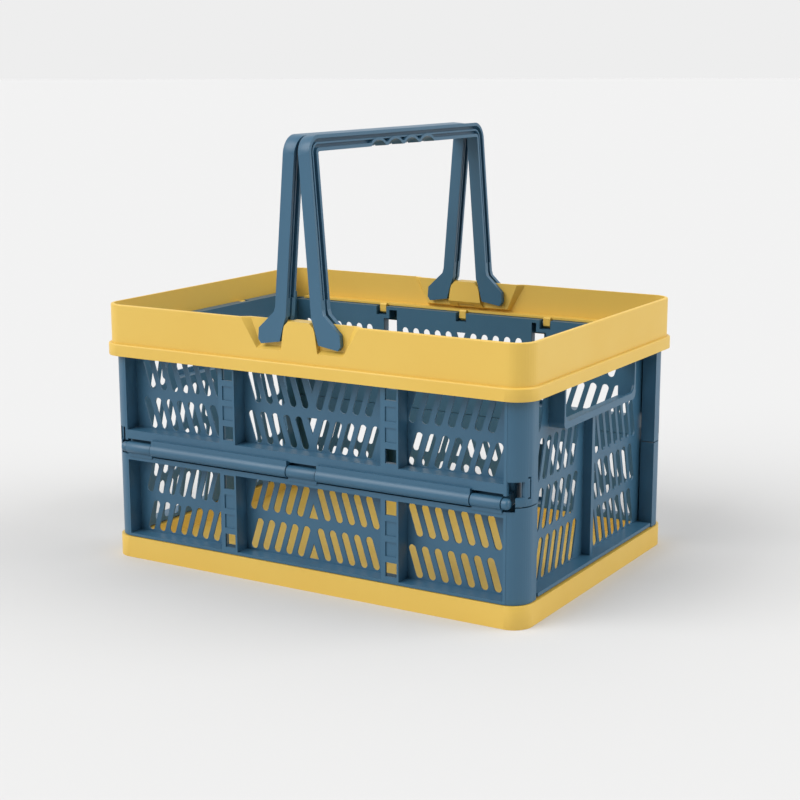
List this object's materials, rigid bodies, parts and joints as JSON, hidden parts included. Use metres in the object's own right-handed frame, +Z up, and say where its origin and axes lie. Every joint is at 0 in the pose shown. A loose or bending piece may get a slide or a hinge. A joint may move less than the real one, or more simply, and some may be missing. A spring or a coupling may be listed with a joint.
{
  "type": "collapsible carrying crate",
  "caption": "Rectangular collapsible crate with a tray base, hinged perforated side walls, hanging end panels and a deep rim that carries swinging bail handles.",
  "frame": {"origin": "centre of the footprint, on the surface the crate stands on", "axes": "+X along the long side, -Y towards the front long side, +Z up"},
  "size_m": [0.43, 0.306, 0.3872],
  "materials": {
    "yellow_pp": "satin injection-moulded polypropylene, mustard yellow",
    "blue_pp": "satin injection-moulded polypropylene, slate blue"
  },
  "bodies": {
    "crate_body": {"base_tray": "yellow_pp", "rim_frame": "yellow_pp", "front_lower_panel": "blue_pp", "front_upper_panel": "blue_pp", "rear_lower_panel": "blue_pp", "rear_upper_panel": "blue_pp", "front_hinge_pin": "blue_pp", "rear_hinge_pin": "blue_pp"},
    "left_handle_body": {"left_handle": "blue_pp"},
    "right_handle_body": {"right_handle": "blue_pp"},
    "left_end_body": {"left_end_panel": "blue_pp"},
    "right_end_body": {"right_end_panel": "blue_pp"}
  },
  "joints": [
    {"name": "right_handle_swing", "type": "hinge", "parent": "crate_body", "child": "right_handle_body", "pos_m": [0.0352, 0, 0.225], "axis": [0, 1, 0], "range_deg": [0, 95]},
    {"name": "left_handle_swing", "type": "hinge", "parent": "crate_body", "child": "left_handle_body", "pos_m": [-0.0352, 0, 0.225], "axis": [0, -1, 0], "range_deg": [0, 95]},
    {"name": "right_end_swing", "type": "hinge", "parent": "crate_body", "child": "right_end_body", "pos_m": [0.203, 0, 0.207], "axis": [0, 1, 0], "range_deg": [0, 88]},
    {"name": "left_end_swing", "type": "hinge", "parent": "crate_body", "child": "left_end_body", "pos_m": [-0.203, 0, 0.207], "axis": [0, -1, 0], "range_deg": [0, 88]}
  ]
}
